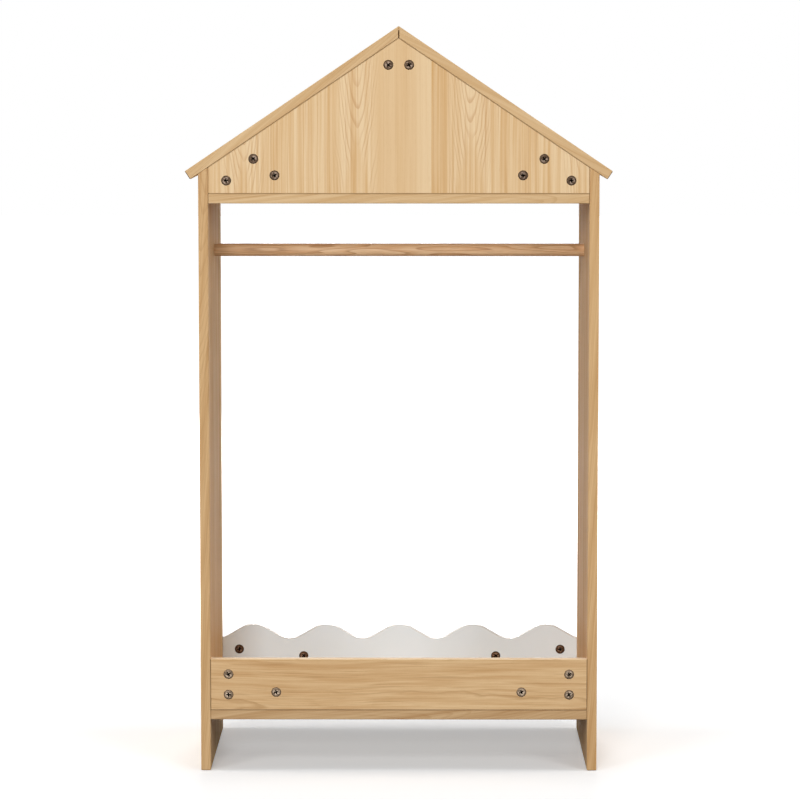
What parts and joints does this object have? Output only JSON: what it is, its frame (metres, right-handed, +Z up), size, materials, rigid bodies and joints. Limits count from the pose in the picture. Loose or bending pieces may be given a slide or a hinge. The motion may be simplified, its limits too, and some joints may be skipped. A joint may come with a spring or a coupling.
{
  "type": "kids wardrobe",
  "caption": "House-shaped open kids wardrobe with a pitched roof over an attic nook, a wooden hanging rod, a low back rail and a white front panel with a wavy top.",
  "frame": {"origin": "on the floor under the middle of the wardrobe", "axes": "+Z up, +Y towards the closed back with the gable and the rail, -Y towards the open front, X along the hanging rod"},
  "size_m": [0.6538, 0.35, 1.15],
  "materials": {
    "wood_board": "satin",
    "white_board": "satin",
    "rod_wood": "satin",
    "dowel_wood": "matte",
    "zinc": "satin",
    "bolt_steel": "satin"
  },
  "bodies": {
    "carcass": {"left_side_panel": "wood_board", "right_side_panel": "wood_board", "bottom_board": "wood_board", "attic_floor": "wood_board", "gable_back_panel": "wood_board", "left_roof_panel": "wood_board", "right_roof_panel": "wood_board", "back_rail": "wood_board", "wave_front_panel": "white_board", "gable_cams": "zinc", "rail_cams": "zinc", "front_cams": "zinc", "bottom_board_cams": "zinc", "attic_floor_cams": "zinc", "gable_cam_bolts": "bolt_steel", "ridge_cam_bolts": "bolt_steel", "rail_cam_bolts": "bolt_steel", "front_cam_bolts": "bolt_steel", "bottom_board_cam_bolts": "bolt_steel", "attic_floor_cam_bolts": "bolt_steel", "bottom_board_dowels": "dowel_wood", "attic_floor_dowels": "dowel_wood", "ridge_dowels": "dowel_wood"},
    "rod": {"hanging_rod": "rod_wood"}
  },
  "joints": [
    {"name": "rod_spin", "type": "hinge", "parent": "carcass", "child": "rod", "pos_m": [0, 0, 0.8], "axis": [1, 0, 0], "continuous": true}
  ]
}
